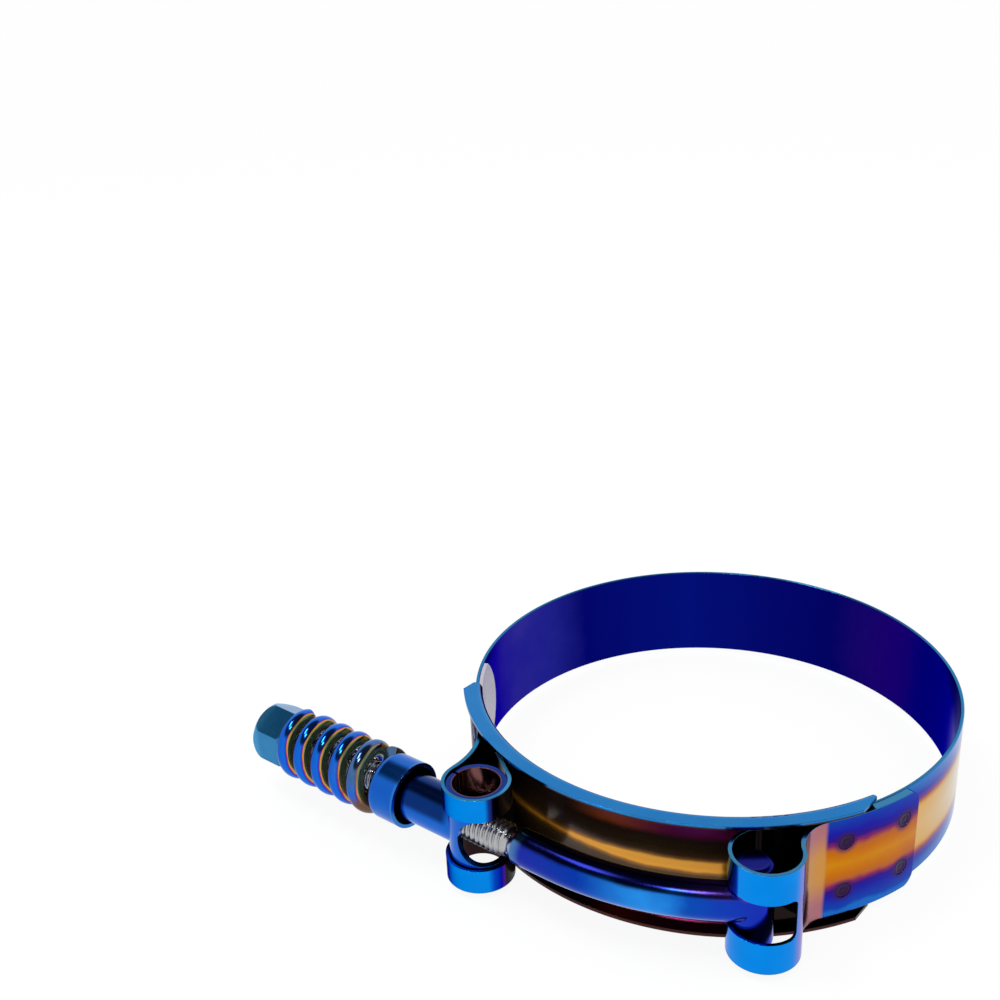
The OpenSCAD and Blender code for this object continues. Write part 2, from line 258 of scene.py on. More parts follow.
@dataclass(frozen=True)
class ClampSizes:
    """Sizes that the dressed pieces share with the solids, in millimetres and degrees."""

    seat_r: float = 42.0
    sheet: float = 0.6
    layer_gap: float = 0.05
    band_w: float = 18.2
    gap_angle: float = 56.6
    loop_r: float = 5.75
    pivot_gap: float = 0.15
    head_d: float = 6.4
    weld_offset: float = 4.6
    weld_inset: float = 3.2
    weld_depth: float = 0.12

    @property
    def band_in(self) -> float:
        """Inner radius of the band."""
        return self.seat_r + self.sheet + self.layer_gap

    @property
    def band_mid(self) -> float:
        """Radius in the middle of the band's sheet."""
        return self.band_in + self.sheet / 2

    @property
    def strap_in(self) -> float:
        """Inner radius of the loop straps."""
        return self.band_in + self.sheet + self.layer_gap

    @property
    def strap_mid(self) -> float:
        """Radius between the strap's two layers."""
        return self.strap_in + self.sheet

    @property
    def strap_out(self) -> float:
        """Outer radius of the strap's tail."""
        return self.strap_mid + self.sheet

    @property
    def fixed(self) -> LoopSizes:
        """The loop round the cross bar."""
        own = {"lift": 0.2, "neck_run": 6.6, "tail_l": 17.7, "start": -90.0, "sense": 1.0}
        return LoopSizes(self.strap_in + self.loop_r, self.strap_mid, **own)

    @property
    def free(self) -> LoopSizes:
        """The loop round the trunnion's barrel."""
        own = {"lift": 2.5, "neck_run": 1.2, "tail_l": 11.4, "start": -90.0 - self.gap_angle, "sense": -1.0}
        return LoopSizes(self.strap_in + self.loop_r, self.strap_mid, **own)

    def loop(self, place: Place) -> LoopSizes:
        """The loop at one end of the band."""
        return self.fixed if place is Place.FIXED else self.free

    def weld_rows(self, place: Place) -> Tuple[float, float]:
        """Angles of the two rows of spot welds on a tail."""
        loop, inset = self.loop(place), degrees(self.weld_inset / self.strap_out)
        return loop.past(loop.neck + inset), loop.past(loop.neck + loop.tail - inset)

    @property
    def head_shift(self) -> float:
        """How far the cross bar sits from its loop's axis, towards the gap."""
        return self.loop_r - self.sheet - self.head_d / 2 - self.pivot_gap

    @property
    def bolt_r(self) -> float:
        """Radius of the bolt's bend."""
        return hypot(self.head_shift, self.fixed.rho)

    @property
    def head_angle(self) -> float:
        """Angle from the fixed loop to the cross bar."""
        return degrees(atan2(self.head_shift, self.fixed.rho))

    @property
    def bend_angle(self) -> float:
        """Angle at which the bolt's bend ends."""
        return self.gap_angle - degrees(acos(self.bolt_r / self.free.rho))

    @property
    def straight_l(self) -> float:
        """Length from the end of the bend to the free loop's axis."""
        return sqrt(self.free.rho**2 - self.bolt_r**2)

    @property
    def free_axis(self) -> Tuple[float, float]:
        """Place of the free loop's axis."""
        turn = radians(self.free.start)
        return self.free.rho * cos(turn), self.free.rho * sin(turn)

    @property
    def along(self) -> Tuple[float, float]:
        """Direction of the bolt's straight part, towards the nut."""
        turn = radians(-90.0 - self.bend_angle)
        return sin(turn), -cos(turn)

    def on_bend(self, angle: float) -> Matrix:
        """Frame on the bolt's bend at an angle from the fixed loop, with +Z along the bolt."""
        turn = Matrix.Rotation(radians(-90.0 - angle), 4, "Z")
        lean = Matrix.Rotation(radians(90.0), 4, "X")
        return turn @ Matrix.Translation((self.bolt_r, 0.0, 0.0)) @ lean

    def on_bolt(self, station: float) -> Matrix:
        """Frame on the bolt's straight part, counted from the free loop's axis."""
        return self.on_bend(self.bend_angle) @ Matrix.Translation((0.0, 0.0, self.straight_l + station))


SIZES = ClampSizes()


class Temper(Enum):
    """Oxide colours of the steel, in the order in which heat brings them."""

    CREAM = (0.78, 0.64, 0.40)
    STRAW = (0.74, 0.53, 0.24)
    GOLD = (0.68, 0.34, 0.05)
    RUST = (0.47, 0.12, 0.02)
    PLUM = (0.22, 0.02, 0.10)
    VIOLET = (0.070, 0.010, 0.28)
    ULTRAMARINE = (0.012, 0.010, 0.34)
    AZURE = (0.002, 0.27, 0.84)


@dataclass(frozen=True)
class Polish:
    """How smooth a surface is worked; edge is the softened edge's radius in millimetres."""

    roughness: float = 0.15
    spread: float = 0.08
    grain: float = 0.04
    edge: float = 0.14


def blank(owner: Union[Material, bpy.types.World]) -> NodeTree:
    """The emptied node tree of a material or a world."""
    owner.use_nodes = True
    owner.node_tree.nodes.clear()
    return owner.node_tree


class Finish(Graph):
    """A procedural material that reads the piece's own place in millimetres."""

    title = "plain_steel"
    polish = Polish()
    metallic = 1.0
    edge_tint: Colour = (0.85, 0.92, 1.0)
    # Pale azure painted on strip edges as a highlight.
    rim_highlight: Colour = (0.045, 0.22, 0.42)
    rim_from, rim_to = 0.12, 0.03
    relief_depth = 0.1

    def __init__(self) -> None:
        """Starts an empty material with the coordinates at hand."""
        self.material = bpy.data.materials.new(self.title)
        super().__init__(blank(self.material))
        self.point = self.add("ShaderNodeTexCoord", key="Object")
        self.x, self.y, self.z = (part * (1.0 / MM) for part in self.parts(self.point))
        self.radius = self.x.length(self.y)
        self.turn = self.y.angle(self.x)
        self.half = self.off_line(0.0)

    def off_line(self, line_z: float) -> Socket:
        """Distance from a line round the band, where 1 is half the band's width."""
        return abs(self.z - line_z) * (2.0 / SIZES.band_w)

    def mottle(self, size: float, detail: float = 2.0) -> Socket:
        """Soft cloudy variation.

        Args:
            size: width of a cloud in millimetres.
            detail: how many finer layers are added.

        Returns:
            A value about 0, from -0.5 to 0.5.
        """
        clouds = {"Vector": self.point, "Scale": 1.0 / (size * MM), "Detail": detail}
        return self.add("ShaderNodeTexNoise", clouds) - 0.5

    def clouded(self, size: float, detail: float, first: Colour, second: Colour) -> Socket:
        """Two colours mixed by mottle's clouds."""
        return self.mix(self.mottle(size, detail) + 0.5, first, second)

    def with_rim_highlight(self, tint: Socket) -> Socket:
        """Painted highlight: pale azure along the top and bottom edges of a strip."""
        half_w = SIZES.band_w / 2
        return self.mix(abs(self.z).rise(half_w - self.rim_from, half_w - self.rim_to), tint, self.rim_highlight)

    def bolt_place(self) -> Tuple[Socket, Socket]:
        """Station along the bolt from the free loop's axis, and distance from the bolt's line."""
        (ax, ay), (wx, wy) = SIZES.free_axis, SIZES.along
        station = (self.x - ax) * wx + (self.y - ay) * wy
        aside = (self.x - ax) * wy - (self.y - ay) * wx
        return station, aside.length(self.z)

    def colour(self) -> Socket:
        """Colour over the surface; each finish has its own."""
        raise NotImplementedError

    def metal(self) -> Number:
        """Share of bare metal, the same all over unless a finish says more."""
        return self.metallic

    def height(self) -> Socket:
        """Relief of the surface, about 0."""
        return self.mottle(0.8, 4.0)

    def build(self) -> Material:
        """Joins colour, gloss and relief.

        Returns:
            The finished material.
        """
        tint = self.colour()
        gloss = self.polish.roughness + self.mottle(5.0, 4.0) * self.polish.spread
        edge = self.add("ShaderNodeBevel", {"Radius": self.polish.edge * MM}, samples=4)
        relief = self.add(
            "ShaderNodeBump",
            {
                "Strength": self.polish.grain,
                "Distance": self.relief_depth * MM,
                "Height": self.height(),
                "Normal": edge,
            },
        )
        shader = self.add(
            "ShaderNodeBsdfPrincipled",
            {
                "Base Color": tint,
                "Metallic": self.metal(),
                "Roughness": gloss,
                "Specular Tint": (*self.edge_tint, 1.0),
                "Normal": relief,
            },
        )
        self.node("ShaderNodeOutputMaterial", {"Surface": shader})
        return self.material


class RolledFinish(Finish):
    """Finish of a sheet, with the fine lines round the bore that rolling leaves."""

    line_round, line_across, line_out = 0.12, 9.0, 2.0

    def height(self) -> Socket:
        """Rolling lines."""
        line = self.vector(
            self.turn * self.line_round, self.z * self.line_across, self.radius * self.line_out
        )
        return self.add("ShaderNodeTexNoise", {"Vector": line, "Scale": 1.0, "Detail": 3.0}) - 0.5


class BandTint(RolledFinish):
    """Band outside: a straw stripe with violet and blue borders."""

    title = "band_tint"
    stripe: Stops = (
        (0.00, Temper.CREAM.value),
        (0.34, Temper.STRAW.value),
        (0.45, Temper.GOLD.value),
        (0.53, Temper.RUST.value),
        (0.59, Temper.PLUM.value),
        (0.65, Temper.VIOLET.value),
        (0.72, Temper.ULTRAMARINE.value),
        (0.84, (0.006, 0.085, 0.44)),
        (1.00, (0.006, 0.16, 0.52)),
    )
    # Near black, used as painted shade.
    shade: Colour = (0.016, 0.010, 0.009)
    warm_run = 42.0
    loop_shadow_from = (-94.0, -92.0)
    loop_shadow_to = (-78.0, -80.0)

    def colour(self) -> Socket:
        """Stripe, warmer beside the tails, with painted shade, near black, under the fixed loop."""
        drift = self.mottle(14.0, 2.0) * 0.16 + self.mottle(2.5, 3.0) * 0.05
        fixed, free = SIZES.fixed, SIZES.free
        tail_end = fixed.past(fixed.neck + fixed.tail)
        free_end = 360.0 + free.past(free.neck + free.tail)
        beside_fixed = self.turn.rise(tail_end + self.warm_run, tail_end)
        near = beside_fixed.most(self.turn.rise(free_end - self.warm_run, free_end))
        outside = self.colours(self.half + drift, self.stripe)
        warm = self.mix(near * (1.0 - self.half.rise(0.30, 0.55)) * 0.75, outside, Temper.GOLD.value)
        # Painted shade: the band turns near black where it runs under the fixed loop.
        loop_shadow = self.turn.rise(*self.loop_shadow_to) * self.turn.rise(*self.loop_shadow_from)
        return self.mix(loop_shadow, self.with_rim_highlight(warm), self.shade)


class BoreTint(RolledFinish):
    """Band inside: ultramarine, navy in places and purple at one end."""

    title = "bore_tint"
    edge_tint = (0.30, 0.30, 0.75)
    reach = 43.0
    sweep: Stops = (
        (0.00, (0.070, 0.060, 0.30)),
        (0.15, (0.018, 0.018, 0.26)),
        (0.27, (0.001, 0.002, 0.14)),
        (0.51, (0.001, 0.005, 0.18)),
        (0.84, (0.001, 0.001, 0.12)),
        (1.00, (0.018, 0.003, 0.16)),
    )

    def colour(self) -> Socket:
        """Colour along the bore's width."""
        place = (self.x + self.reach) * (0.5 / self.reach)
        drift = self.mottle(16.0) * 0.08 + self.mottle(3.0) * 0.03
        return self.with_rim_highlight(self.colours(place + drift, self.sweep))


class BridgeTint(RolledFinish):
    """Bridge plate: blue bore side, a web with a gold line, an azure upper flange, and painted shade on the
    web towards the flanges, in its creases and on the brown bottom flange.
    """

    title = "bridge_tint"
    inside_to = 42.3
    line_z = 0.5
    # From the gold line outwards the web is painted darker, to near black, as shade under the flanges.
    web: Stops = (
        (0.00, (0.78, 0.34, 0.024)),
        (0.09, (0.86, 0.38, 0.028)),
        (0.14, (0.32, 0.12, 0.012)),
        (0.20, (0.085, 0.042, 0.010)),
        (0.32, (0.040, 0.022, 0.009)),
        (0.60, (0.020, 0.010, 0.007)),
        (1.00, (0.024, 0.014, 0.010)),
    )

    def colour(self) -> Socket:
        """Blue towards the bore, a web with a gold line that darkens as painted shade, painted shade in the
        creases, an azure upper flange, and a bottom flange painted brown as shade.
        """
        drift = self.mottle(12.0, 2.0) * 0.12 + self.mottle(2.0, 3.0) * 0.04
        offset = self.off_line(self.line_z)
        plain = self.colours(offset + drift + self.x.rise(-14.0, -30.0) * 0.07, self.web)
        streak = (self.x + drift * 30.0).rise(-29.0, -20.0) * self.x.rise(6.0, -3.0)
        blush = self.mix(self.x.rise(-24.0, -12.0), (0.34, 0.065, 0.012), (0.13, 0.006, 0.060))
        web = self.mix(streak * (self.half + drift).rise(0.56, 0.72), plain, blush)
        blue = self.mix(self.x.rise(-44.0, 6.0), (0.005, 0.004, 0.18), Temper.ULTRAMARINE.value)
        body = self.mix(self.radius.rise(self.inside_to - 0.1, self.inside_to + 0.1), blue, web)
        level = abs(self.z)
        # Painted shade: dark brown in the creases where the web meets the flanges.
        crease_shade = self.mix(level.rise(9.75, 9.95), body, (0.050, 0.020, 0.014))
        upper = self.clouded(7.0, 2.0, (0.028, 0.22, 0.52), (0.008, 0.17, 0.52))
        # Painted shade: the bottom flange is painted dark brown.
        shaded_bottom_flange = self.clouded(7.0, 2.0, (0.085, 0.030, 0.024), (0.045, 0.016, 0.030))
        lip = self.mix(self.z.rise(-1.0, 1.0), shaded_bottom_flange, upper)
        return self.mix(level.rise(10.0, 10.35), crease_shade, lip)

    def metal(self) -> Number:
        """Duller oxide on the web's outer face."""
        outer = self.radius.rise(self.inside_to - 0.1, self.inside_to + 0.1)
        return 1.0 - outer * abs(self.z).rise(9.9, 9.3) * 0.5


class TongueTint(RolledFinish):
    """Tongue: bare lavender steel that turns blue towards the bridge plate."""

    title = "tongue_tint"
    polish = Polish(roughness=0.5, spread=0.1, grain=0.05, edge=0.05)
    metallic = 0.35
    edge_tint = (0.8, 0.8, 0.9)

    def colour(self) -> Socket:
        """Lavender at the tip, deep blue at the root, and painted shade, near black, beside the upper
        flange.
        """
        drift = self.mottle(4.0, 2.0)
        pale = self.clouded(3.0, 3.0, (0.44, 0.42, 0.50), (0.54, 0.52, 0.58))
        # Painted shade: near black along the top of the tongue at its root, beside the flange.
        flange_shade = self.z.rise(6.9, 7.9) * self.y.rise(1.0, 0.0)
        root = self.mix((self.y + drift).rise(1.6, -1.6), pale, (0.005, 0.004, 0.16))
        return self.mix(flange_shade, root, (0.004, 0.003, 0.06))


class LoopTint(Finish):
    """Loop strap: azure round the loop, lilac flank, gold tail with violet and blue borders."""

    tail: Stops = (
        (0.00, (0.60, 0.22, 0.004)),
        (0.20, (0.54, 0.15, 0.003)),
        (0.32, Temper.RUST.value),
        (0.42, Temper.PLUM.value),
        (0.51, (0.030, 0.006, 0.22)),
        (0.64, Temper.ULTRAMARINE.value),
        (0.92, (0.006, 0.050, 0.40)),
        (1.00, (0.010, 0.14, 0.54)),
    )
    gap_low: Stops = (
        (0.00, Temper.AZURE.value),
        (0.30, (0.002, 0.060, 0.50)),
        (0.58, (0.002, 0.010, 0.34)),
        (0.76, (0.10, 0.010, 0.26)),
        (1.00, (0.50, 0.13, 0.060)),
    )
    gap_high: Stops = (
        (0.00, Temper.AZURE.value),
        (0.22, (0.006, 0.030, 0.24)),
        (0.40, (0.020, 0.010, 0.010)),
        (0.78, (0.020, 0.010, 0.010)),
        (1.00, (0.22, 0.090, 0.035)),
    )
    # Near black, used as painted shade.
    shade: Colour = (0.016, 0.010, 0.009)
    halo: Colour = (0.040, 0.010, 0.10)
    line_z = 0.7
    gap_from = 1.0
    gap_reach = 4.2

    def __init__(self, place: Place) -> None:
        """Starts the finish for the loop at one end of the band."""
        self.place = place
        self.loop = SIZES.loop(place)
        self.title = f"{place.value}_loop_tint"
        self.edge_tint = (0.75, 0.80, 0.95) if place is Place.FIXED else (0.08, 0.09, 0.18)
        super().__init__()

    def _local(self) -> Tuple[Socket, Socket]:
        """Place seen from the bore's axis: along the band towards the tail, and outwards."""
        turn = radians(self.loop.start)
        tailwards = (self.y * cos(turn) - self.x * sin(turn)) * self.loop.sense
        return tailwards, self.x * cos(turn) + self.y * sin(turn)

    def _gapwards(self) -> Socket:
        """Place on the free loop's ring towards the gap, from 0 on its front to 1 at its side."""
        return (self.x - SIZES.free_axis[0] - self.gap_from) * (1.0 / self.gap_reach)

    def metal(self) -> Number:
        """Duller oxide on the free loop's side towards the gap."""
        if self.place is Place.FIXED:
            return self.metallic
        return 1.0 - self._gapwards().rise(0.5, 0.9) * 0.5

    def _inside(self, tailwards: Socket, outwards: Socket) -> Socket:
        """Share of a point that lies on the strap's inner face.

        Args:
            tailwards: place along the band, from the loop's axis.
            outwards: distance from the bore's axis.

        Returns:
            1 inside the loop and its neck, 0 outside.
        """
        rho, neck = self.loop.rho, self.loop.neck
        drop = SIZES.strap_out - SIZES.loop_r
        turn = radians(neck)
        centre_rho = (rho**2 - drop**2) / (2 * (rho * cos(turn) - drop))
        cx, cy = centre_rho * sin(turn), centre_rho * cos(turn)
        bend_r = centre_rho - SIZES.strap_mid - SIZES.sheet / 2
        reach = hypot(cx, cy - rho)
        ex, ey = cx / reach, (cy - rho) / reach
        offset = outwards - rho
        inner = SIZES.loop_r - SIZES.sheet
        above = outwards.rise(SIZES.strap_mid, SIZES.strap_mid + 0.15)
        ring = tailwards.length(offset).rise(inner + 0.25, inner + 0.05) * above
        behind = (tailwards - cx).length(outwards - cy).rise(bend_r - 0.06, bend_r + 0.06)
        below = (tailwards * ey - offset * ex).rise(0.0, 0.2)
        seat = self.radius.rise(SIZES.strap_mid + 0.35, SIZES.strap_mid + 0.2)
        covered = tailwards.angle(outwards).rise(neck + 0.3, neck - 0.6)
        return ring.most(behind * below * above).most(seat * covered)

    def _welded(self, tint: Socket) -> Socket:
        """The tail's tint with dusky halos round its spot welds."""
        aside = abs(self.z) - SIZES.weld_offset
        for row in SIZES.weld_rows(self.place):
            run = (self.turn - row) * radians(SIZES.strap_out)
            tint = self.mix(run.length(aside).rise(2.5, 1.2) * 0.8, tint, self.halo)
        return tint

    def colour(self) -> Socket:
        """Azure loop, warm neck on the fixed loop, striped tail, and painted shade, near black, on the free
        loop's neck and inside.
        """
        tailwards, outwards = self._local()
        drift = self.mottle(7.0, 2.0) * 0.22 + self.mottle(1.6, 3.0) * 0.06
        tail = self._welded(self.colours(self.off_line(self.line_z) + drift, self.tail))
        loop = self.clouded(5.0, 2.0, Temper.AZURE.value, (0.002, 0.20, 0.70))
        along = tailwards + drift * 5.0
        if self.place is Place.FIXED:
            lilac = self.mix(along.rise(3.4, 5.6), loop, (0.34, 0.17, 0.46))
            off_line = abs(self.z - self.line_z)
            warm = self.mix(off_line.rise(1.5, 7.5), (0.58, 0.27, 0.060), (0.40, 0.15, 0.17))
            body = self.mix(along.rise(5.0, 6.6), lilac, warm)
        else:
            gap = self._gapwards() + drift * 0.5
            low, high = self.colours(gap, self.gap_low), self.colours(gap, self.gap_high)
            ring = self.mix(self.z.rise(-1.0, 1.0), low, high)
            front = self.mix(gap.rise(0.0, 0.15), loop, ring)
            # Painted shade: the free loop's neck goes near black.
            body = self.mix(along.rise(1.5, 4.5), front, (0.010, 0.010, 0.030))
        edge = SIZES.strap_mid * sin(radians(self.loop.neck))
        dressed = self.mix((tailwards + drift * 1.5).rise(edge - 0.5, edge + 0.3), body, tail)
        # Painted shade: near black on the strap's inner face, inside the loop and its neck.
        return self.with_rim_highlight(self.mix(self._inside(tailwards, outwards), dressed, self.shade))


class BoltTint(Finish):
    """T-bolt: deep blue shank and cross bar, bare silver thread."""

    title = "bolt_tint"
    polish = Polish(roughness=0.16, spread=0.10, grain=0.05)
    thread_from = -8.5
    run_from = -40.0
    run_l = 42.0
    below: Stops = (
        (0.00, (0.020, 0.020, 0.34)),
        (0.28, (0.003, 0.040, 0.38)),
        (0.53, (0.020, 0.26, 0.78)),
        (0.66, (0.004, 0.070, 0.45)),
        (1.00, (0.012, 0.014, 0.44)),
    )

    def colour(self) -> Socket:
        """Painted shade, near black, along the shank's top, ultramarine to azure below, a painted sheen
        before the thread, and silver past the lead-in with painted shade underneath.
        """
        station, _ = self.bolt_place()
        drift = self.mottle(6.0, 3.0)
        run = (self.x + drift * 6.0 - self.run_from) * (1.0 / self.run_l)
        under = self.colours(run, self.below)
        # Painted shade: the shank's top is near black, paling to purple towards the cross bar.
        over = self.mix(self.x.rise(-16.0, -2.0), (0.004, 0.006, 0.070), (0.10, 0.045, 0.36))
        shank = self.mix((self.z + drift * 1.2).rise(1.8, 2.6), under, over)
        bar = self.mix(self.z.rise(6.7, 7.2), shank, (0.010, 0.012, 0.22))
        # Painted sheen: a pale steel-blue ring on the shank just before the thread.
        ring = station.rise(self.thread_from - 2.4, self.thread_from - 0.4) * 0.6
        pale = self.mix(ring * self.x.rise(-22.0, -24.0), bar, (0.10, 0.28, 0.46))
        silver = self.clouded(1.2, 3.0, (0.52, 0.51, 0.50), (0.33, 0.34, 0.37))
        # Painted shade: the thread's underside darkens to near black.
        shaded_underside = self.mix((self.z + drift).rise(-0.2, -1.5), silver, (0.055, 0.050, 0.055))
        bare = (station + drift * 0.8).rise(self.thread_from - 0.5, self.thread_from + 0.3)
        return self.mix(bare * self.x.rise(-24.0, -26.0), pale, shaded_underside)


class TrunnionTint(Finish):
    """Trunnion: blue stem and barrel, brown inside."""

    title = "trunnion_tint"

    def colour(self) -> Socket:
        """Blue outside with painted shade on the stem's and barrel's tops, brown in the hollow barrel
        painted darker deeper in, and painted shade in the bore.
        """
        station, aside = self.bolt_place()
        ax, ay = SIZES.free_axis
        from_axis = (self.x - ax).length(self.y - ay)
        blue = self.clouded(6.0, 3.0, (0.008, 0.085, 0.50), (0.012, 0.16, 0.66))
        # Painted shade: the stem's top turns dark navy.
        stem = self.mix(self.z.rise(0.3, 1.6) * station.rise(3.0, 5.0), blue, (0.004, 0.028, 0.16))
        # Painted shade: the barrel's top end turns navy.
        navy = self.mix(from_axis.rise(5.6, 4.6) * self.z.rise(8.4, 8.7), stem, (0.008, 0.030, 0.22))
        rust = self.clouded(4.0, 2.0, (0.24, 0.10, 0.055), (0.12, 0.050, 0.075))
        # Brown oxide in the hollow barrel, painted near black further down as shade.
        inside = self.mix(self.z.rise(6.0, 3.0), rust, (0.022, 0.010, 0.010))
        brown = self.mix(from_axis.rise(4.2, 4.05), navy, inside)
        # Painted shade: near black inside the stem's bore.
        bore = aside.rise(3.85, 3.72) * station.rise(4.0, 4.6)
        return self.mix(bore, brown, (0.020, 0.015, 0.03))


class CupTint(Finish):
    """Spring cup: blue outside, near black inside."""

    title = "cup_tint"

    def colour(self) -> Socket:
        """Blue with a painted highlight on the rim, and painted shade, near black, inside."""
        station, aside = self.bolt_place()
        blue = self.clouded(5.0, 3.0, (0.008, 0.080, 0.46), (0.012, 0.15, 0.60))
        # Painted highlight: paler towards the open rim.
        rim = self.mix(station.rise(15.0, 14.4) * 0.5, blue, (0.05, 0.26, 0.62))
        # Painted shade: near black inside the cup.
        return self.mix(aside.rise(5.25, 5.1) * station.rise(20.2, 20.0), rim, (0.012, 0.012, 0.03))


class SpringTint(Finish):
    """Spring: blue crowns, red, gold and olive flanks towards the cup, green above beside it."""

    title = "spring_tint"
    polish = Polish(roughness=0.13, spread=0.08, grain=0.04, edge=0.05)
    flank: Stops = (
        (0.00, (0.020, 0.10, 0.40)),
        (0.35, (0.006, 0.060, 0.42)),
        (0.55, (0.006, 0.12, 0.62)),
        (0.80, (0.008, 0.14, 0.68)),
        (0.86, (0.010, 0.050, 0.52)),
        (0.89, (0.16, 0.012, 0.24)),
        (0.91, (0.55, 0.060, 0.030)),
        (0.935, (0.66, 0.36, 0.060)),
        (0.96, (0.26, 0.25, 0.070)),
        (1.00, (0.085, 0.12, 0.050)),
    )

    def _lean(self) -> Socket:
        """How far the wire's face leans towards the cup, 0 to 1."""
        return 0.5 - self.add("ShaderNodeAttribute", key="Fac", attribute_name=WIRE_LEAN) * 0.5

    def metal(self) -> Number:
        """Duller oxide on the flanks."""
        return 1.0 - self._lean().rise(0.92, 0.99) * 0.35

    def colour(self) -> Socket:
        """Colour round the wire, greener above and browner below beside the cup."""
        station, _ = self.bolt_place()
        drift = self.mottle(4.0, 3.0) * 0.10 + self.mottle(1.2, 3.0) * 0.04
        above = self.z.rise(0.5, 5.0)
        wound = self.colours(self._lean() + drift + above * 0.09, self.flank)
        green = self.clouded(2.0, 3.0, (0.040, 0.10, 0.075), (0.16, 0.21, 0.15))
        near = (station + drift * 14.0).rise(30.0, 22.0) * self.z.rise(-1.0, 3.5)
        topped = self.mix(near * 0.7, wound, green)
        brown = (station + drift * 6.0).rise(25.4, 23.4) * self.z.rise(0.5, -2.5)
        return self.mix(brown, topped, (0.15, 0.075, 0.045))


class NutTint(Finish):
    """Lock nut: steel blue, paler towards its domed end."""

    title = "nut_tint"
    polish = Polish(roughness=0.17, spread=0.08, grain=0.06, edge=0.22)

    def colour(self) -> Socket:
        """Steel blue that pales towards the end of the bolt."""
        station, _ = self.bolt_place()
        body = self.clouded(4.0, 3.0, (0.016, 0.15, 0.36), (0.030, 0.23, 0.48))
        return self.mix(station.rise(47.6, 49.4) * 0.6, body, (0.07, 0.34, 0.62))


class InsertNylon(Finish):
    """Insert: dull dark plastic with a moulded grain."""

    title = "insert_nylon"
    polish = Polish(roughness=0.48, spread=0.16, grain=0.25, edge=0.1)
    metallic = 0.0
    edge_tint = (1.0, 1.0, 1.0)

    def colour(self) -> Socket:
        """Near black with faint grey clouds."""
        return self.clouded(1.5, 4.0, (0.014, 0.015, 0.018), (0.040, 0.042, 0.048))

    def height(self) -> Socket:
        """Moulded grain."""
        return self.mottle(0.25, 3.0)


class WeldTint(Finish):
    """Spot welds: dark violet and brown."""

    polish = Polish(roughness=0.30, spread=0.12, grain=0.25, edge=0.05)
    title = "weld_tint"

    def colour(self) -> Socket:
        """Darkest in the dimple, more violet on its rim."""
        lift = (self.radius - (SIZES.strap_out - SIZES.weld_depth)).rise(0.01, 0.10)
        dark = self.clouded(0.9, 3.0, (0.020, 0.007, 0.050), (0.040, 0.014, 0.042))
        return self.mix(lift, dark, (0.036, 0.012, 0.075))


def polar(radius: float, turn: float, up: float = 0.0) -> Triple:
    """Point in metres, from a radius and a height in millimetres and an angle in degrees."""
    return radius * cos(radians(turn)) * MM, radius * sin(radians(turn)) * MM, up * MM


def kept(form: bmesh.types.BMesh, mesh: Mesh) -> Mesh:
    """Writes a form into a mesh and frees the form."""
    form.to_mesh(mesh)
    form.free()
    return mesh


def loft(title: str, rings: Sequence[Sequence[Any]]) -> Mesh:
    """Skin over rings of points, closed at both ends.

    Args:
        title: the mesh's name.
        rings: rings with the same number of points, in metres.

    Returns:
        A smooth closed mesh with its faces outwards.
    """
    form = bmesh.new()
    rows = [[form.verts.new(point) for point in ring] for ring in rings]
    for here, there in zip(rows, rows[1:]):
        for k in range(len(here)):
            after = (k + 1) % len(here)
            form.faces.new((here[k], here[after], there[after], there[k]))
    form.faces.new(list(reversed(rows[0])))
    form.faces.new(rows[-1])
    bmesh.ops.recalc_face_normals(form, faces=form.faces)
    for face in form.faces:
        face.smooth = len(face.verts) == 4
    for edge in form.edges:
        if len(edge.link_faces) == 2 and edge.calc_face_angle(0.0) > SHARP_EDGE:
            edge.smooth = False
    return kept(form, bpy.data.meshes.new(title))


def joined(title: str, meshes: Sequence[Mesh]) -> Mesh:
    """One mesh, with a name of its own, out of several that are used up."""
    form = bmesh.new()
    for mesh in meshes:
        form.from_mesh(mesh)
        bpy.data.meshes.remove(mesh)
    return kept(form, bpy.data.meshes.new(title))


def place_object(title: str, mesh: Mesh, material: Optional[Material] = None) -> Object:
    """Puts a mesh into the scene at the origin.

    Args:
        title: the object's name.
        mesh: its mesh, with its place in its points.
        material: its finish, if the mesh has none yet.

    Returns:
        The new object.
    """
    made = bpy.data.objects.new(title, mesh)
    bpy.context.scene.collection.objects.link(made)
    if material is not None:
        mesh.materials.clear()
        mesh.materials.append(material)
    return made


def dress_node(node: str, finish: Finish) -> None:
    """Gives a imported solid, named by its node, its finish."""
    material = finish.build()
    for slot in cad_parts[node].material_slots:
        slot.material = material
    LOG.info("%s: %s", node, material.name)


